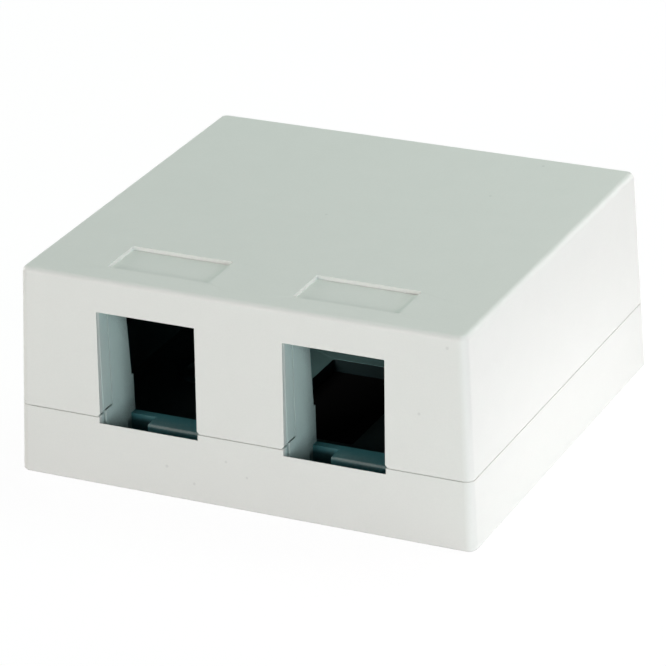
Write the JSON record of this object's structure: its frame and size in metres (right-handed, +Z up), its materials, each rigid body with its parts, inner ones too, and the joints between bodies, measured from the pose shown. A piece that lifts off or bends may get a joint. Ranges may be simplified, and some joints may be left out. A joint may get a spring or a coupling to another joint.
{
  "type": "surface mount jack box",
  "caption": "Low square plastic wall box for network jacks: a tray with jack cells and a lift-off hood with front ports and label recesses.",
  "frame": {"origin": "centre of the underside, on the wall or desk that the box is fixed to", "axes": "+Z up through the roof, -Y out of the front face with the ports, +X to the right seen from the front"},
  "size_m": [0.0682, 0.0642, 0.0304],
  "materials": {
    "base_plastic": "fine matt moulded ABS, cool white",
    "cover_plastic": "fine matt moulded ABS, cool white"
  },
  "bodies": {
    "base": {"base": "base_plastic"},
    "cover": {"cover": "cover_plastic"}
  },
  "joints": [
    {"name": "cover_lift", "type": "slide", "parent": "base", "child": "cover", "axis": [0, 0, 1], "range_m": [0, 0.03]}
  ]
}
